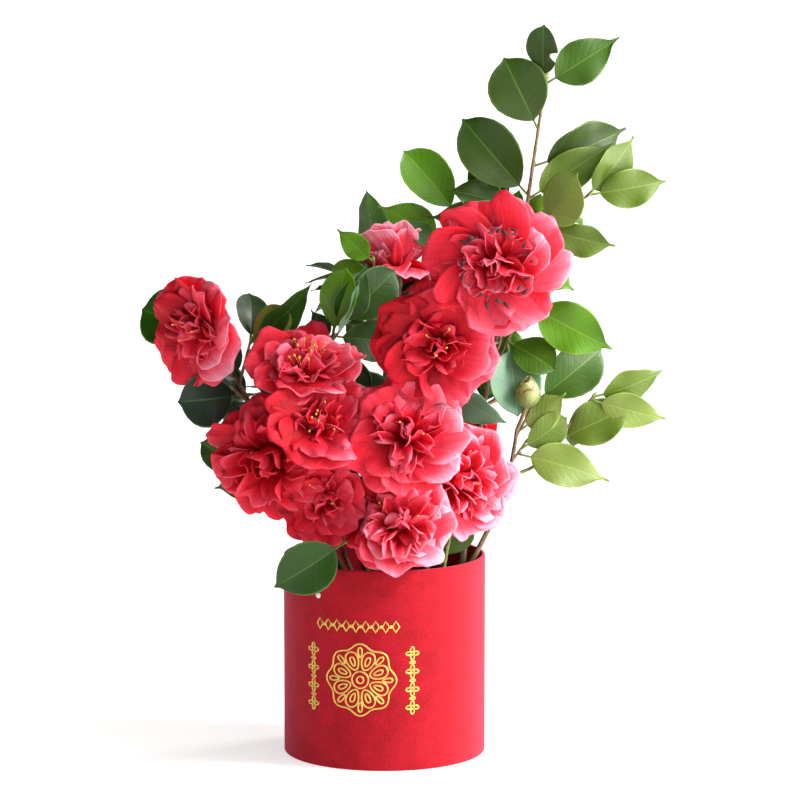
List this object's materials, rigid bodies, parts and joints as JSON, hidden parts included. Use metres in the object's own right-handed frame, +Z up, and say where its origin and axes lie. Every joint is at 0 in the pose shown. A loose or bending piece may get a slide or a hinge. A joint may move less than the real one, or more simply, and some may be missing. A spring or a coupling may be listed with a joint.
{
  "type": "potted camellia",
  "caption": "Potted camellia shrub: slim forking stems, ruffled double red blooms and glossy pointed leaves, in a round flock-covered planter.",
  "frame": {"origin": "centre of the planter's flat underside", "axes": "+Z up, -Y towards the front of the plant, +X to the viewer's right"},
  "size_m": [0.3913, 0.2491, 0.5424],
  "materials": {
    "flock": "short crimson flock on card",
    "soil": "moist bark potting mix",
    "stud": "smooth",
    "bark": "smooth brown bark",
    "green_bark": "smooth green young bark",
    "petal": "soft satin petal",
    "bud_scale": "silky bud scales",
    "leaf": "glossy leaf"
  },
  "bodies": {
    "root": {"planter": "flock", "soil": "soil", "front_stud": "stud", "rear_stud": "stud", "main_stem": "bark", "right_stem": "bark", "front_stem": "green_bark", "left_stem": "bark", "centre_stem": "bark", "inner_stem": "bark", "far_left_stem": "bark", "back_stem": "bark", "rear_stem": "bark", "bough_of_bloom_1": "bark", "bough_of_bloom_5": "bark", "bough_of_bloom_6": "bark", "bough_of_bloom_8": "bark", "bough_of_bloom_10": "bark", "right_bough": "green_bark", "upper_bough": "bark", "rear_left_bough": "bark", "rear_right_bough": "bark", "bloom_1": "petal", "bloom_2": "petal", "bloom_4": "petal", "bloom_8": "petal", "bloom_5": "petal", "bloom_6": "petal", "bloom_7": "petal", "bloom_10": "petal", "bloom_3": "petal", "bloom_9": "petal", "bloom_11": "petal", "bloom_12": "petal", "bloom_13": "petal", "bud": "bud_scale", "top_spray": "leaf", "top_right_spray": "leaf", "upper_left_spray": "leaf", "upper_back_spray": "leaf", "left_back_spray": "leaf", "middle_spray": "leaf", "left_spray": "leaf", "left_low_spray": "leaf", "far_left_spray": "leaf", "right_upper_spray": "leaf", "bud_spray": "leaf", "right_spray": "leaf", "right_low_spray": "leaf", "centre_spray": "leaf", "low_left_spray": "leaf", "low_centre_spray": "leaf", "low_far_left_spray": "leaf", "rear_top_spray": "leaf", "rear_upper_spray": "leaf", "rear_left_spray": "leaf", "rear_middle_spray": "leaf", "rear_right_spray": "leaf", "rear_low_spray": "leaf", "rear_far_left_spray": "leaf"}
  },
  "joints": []
}
